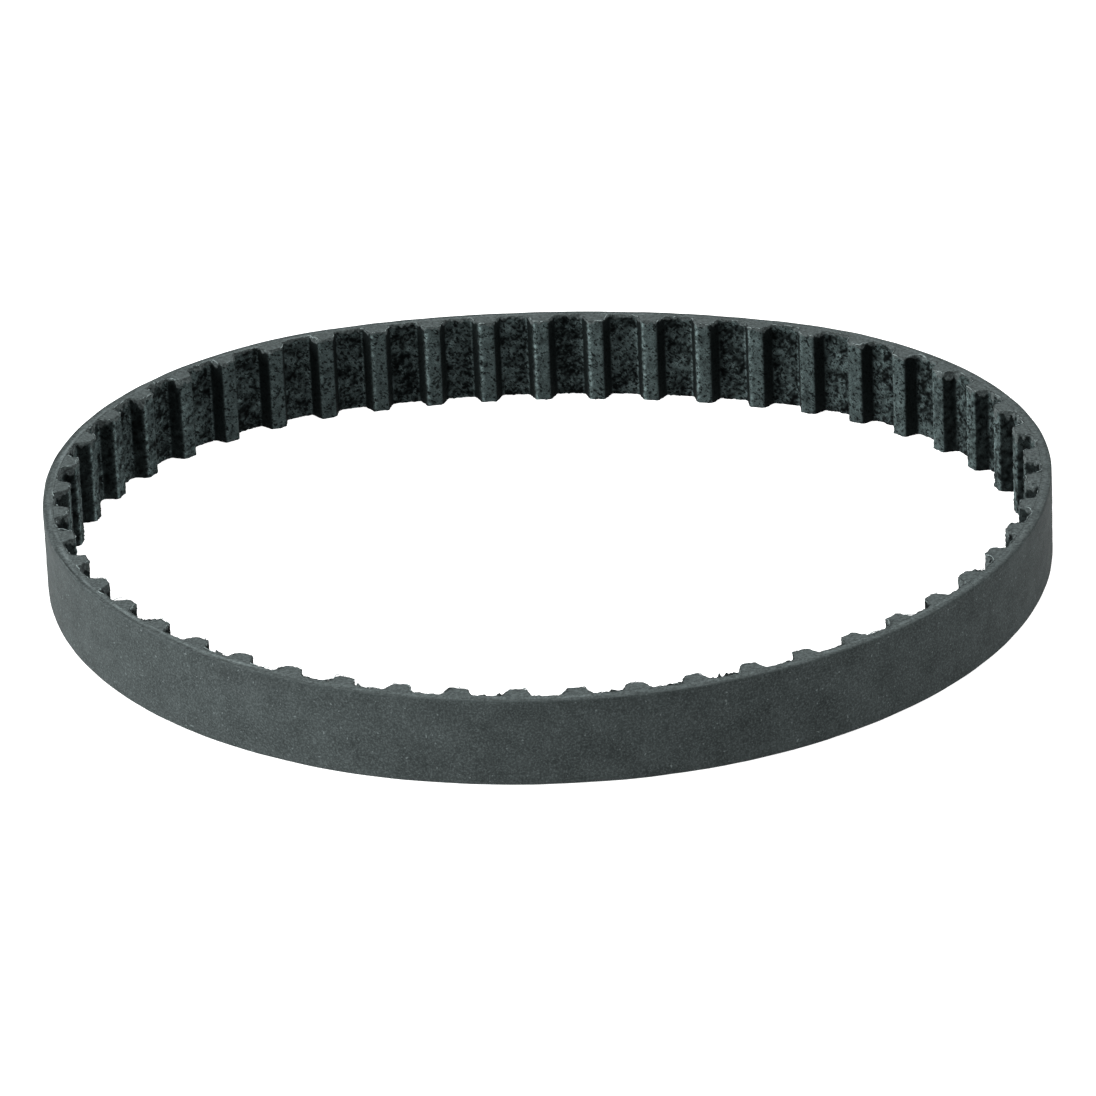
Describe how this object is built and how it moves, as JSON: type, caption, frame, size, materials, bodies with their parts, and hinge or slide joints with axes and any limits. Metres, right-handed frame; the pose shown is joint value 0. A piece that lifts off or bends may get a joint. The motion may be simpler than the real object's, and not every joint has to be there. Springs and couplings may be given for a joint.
{
  "type": "timing belt",
  "caption": "Endless toothed timing belt with a smooth back and trapezoidal teeth inside, lying on its edge as a slightly oval loop that bends flat.",
  "frame": {"origin": "the middle of the loop, on the plane that the belt's lower edge stands on", "axes": "+Z across the belt's width and up; +X along the loop's longer way; +Y towards the flatter of its long sides"},
  "size_m": [0.0886, 0.0776, 0.0079],
  "materials": {
    "backing": "moulded neoprene, ground to a fine matt grain",
    "tension cord": "twisted glass-fibre cord",
    "tooth rubber": "moulded neoprene",
    "facing": "woven nylon, pressed into the rubber"
  },
  "bodies": {
    "length_01": {"backing_01": "backing", "cords_01": "tension cord", "teeth_01": "tooth rubber", "facing_01": "facing"},
    "length_02": {"backing_02": "backing", "cords_02": "tension cord", "teeth_02": "tooth rubber", "facing_02": "facing"},
    "length_03": {"backing_03": "backing", "cords_03": "tension cord", "teeth_03": "tooth rubber", "facing_03": "facing"},
    "length_04": {"backing_04": "backing", "cords_04": "tension cord", "teeth_04": "tooth rubber", "facing_04": "facing"},
    "length_05": {"backing_05": "backing", "cords_05": "tension cord", "teeth_05": "tooth rubber", "facing_05": "facing"},
    "length_06": {"backing_06": "backing", "cords_06": "tension cord", "teeth_06": "tooth rubber", "facing_06": "facing"},
    "length_07": {"backing_07": "backing", "cords_07": "tension cord", "teeth_07": "tooth rubber", "facing_07": "facing"},
    "length_08": {"backing_08": "backing", "cords_08": "tension cord", "teeth_08": "tooth rubber", "facing_08": "facing"},
    "length_09": {"backing_09": "backing", "cords_09": "tension cord", "teeth_09": "tooth rubber", "facing_09": "facing"},
    "length_10": {"backing_10": "backing", "cords_10": "tension cord", "teeth_10": "tooth rubber", "facing_10": "facing"},
    "length_11": {"backing_11": "backing", "cords_11": "tension cord", "teeth_11": "tooth rubber", "facing_11": "facing"},
    "length_12": {"backing_12": "backing", "cords_12": "tension cord", "teeth_12": "tooth rubber", "facing_12": "facing"},
    "length_13": {"backing_13": "backing", "cords_13": "tension cord", "teeth_13": "tooth rubber", "facing_13": "facing"}
  },
  "joints": [
    {"name": "bend_right_1", "type": "hinge", "parent": "length_07", "child": "length_06", "pos_m": [0.00759, -0.03742, 0.00397], "axis": [0, 0, 1], "range_deg": [-19.4, 0]},
    {"name": "bend_right_2", "type": "hinge", "parent": "length_06", "child": "length_05", "pos_m": [0.02617, -0.02967, 0.00397], "axis": [0, 0, 1], "range_deg": [-16.3, 0]},
    {"name": "bend_right_3", "type": "hinge", "parent": "length_05", "child": "length_04", "pos_m": [0.03917, -0.0143, 0.00397], "axis": [0, 0, 1], "range_deg": [0, 26.9]},
    {"name": "bend_right_4", "type": "hinge", "parent": "length_04", "child": "length_03", "pos_m": [0.04353, 0.00534, 0.00397], "axis": [0, 0, 1], "range_deg": [0, 34.69], "stiffness_Nm_per_rad": 0.004},
    {"name": "bend_right_5", "type": "hinge", "parent": "length_03", "child": "length_02", "pos_m": [0.03669, 0.02409, 0.00397], "axis": [0, 0, 1], "range_deg": [0, 7.7]},
    {"name": "bend_right_6", "type": "hinge", "parent": "length_02", "child": "length_01", "pos_m": [0.02005, 0.0352, 0.00397], "axis": [0, 0, 1], "range_deg": [-33.8, 0]},
    {"name": "bend_left_1", "type": "hinge", "parent": "length_07", "child": "length_08", "pos_m": [-0.00759, -0.03742, 0.00397], "axis": [0, 0, 1], "range_deg": [0, 19.4]},
    {"name": "bend_left_2", "type": "hinge", "parent": "length_08", "child": "length_09", "pos_m": [-0.02617, -0.02967, 0.00397], "axis": [0, 0, 1], "range_deg": [0, 16.3]},
    {"name": "bend_left_3", "type": "hinge", "parent": "length_09", "child": "length_10", "pos_m": [-0.03917, -0.0143, 0.00397], "axis": [0, 0, 1], "range_deg": [-26.9, 0]},
    {"name": "bend_left_4", "type": "hinge", "parent": "length_10", "child": "length_11", "pos_m": [-0.04353, 0.00534, 0.00397], "axis": [0, 0, 1], "range_deg": [-34.8, 0]},
    {"name": "bend_left_5", "type": "hinge", "parent": "length_11", "child": "length_12", "pos_m": [-0.03669, 0.02409, 0.00397], "axis": [0, 0, 1], "range_deg": [-7.7, 0]},
    {"name": "bend_left_6", "type": "hinge", "parent": "length_12", "child": "length_13", "pos_m": [-0.02005, 0.0352, 0.00397], "axis": [0, 0, 1], "range_deg": [0, 33.8]}
  ],
  "couplings": [
    {"joint": "bend_right_1", "follows": "bend_right_4", "ratio": -0.55522},
    {"joint": "bend_right_2", "follows": "bend_right_4", "ratio": -0.46498},
    {"joint": "bend_right_3", "follows": "bend_right_4", "ratio": 0.77158},
    {"joint": "bend_right_5", "follows": "bend_right_4", "ratio": 0.2186},
    {"joint": "bend_right_6", "follows": "bend_right_4", "ratio": -0.96997},
    {"joint": "bend_left_1", "follows": "bend_right_4", "ratio": 0.55522},
    {"joint": "bend_left_2", "follows": "bend_right_4", "ratio": 0.46498},
    {"joint": "bend_left_3", "follows": "bend_right_4", "ratio": -0.77158},
    {"joint": "bend_left_4", "follows": "bend_right_4", "ratio": -1},
    {"joint": "bend_left_5", "follows": "bend_right_4", "ratio": -0.2186},
    {"joint": "bend_left_6", "follows": "bend_right_4", "ratio": 0.96997}
  ]
}
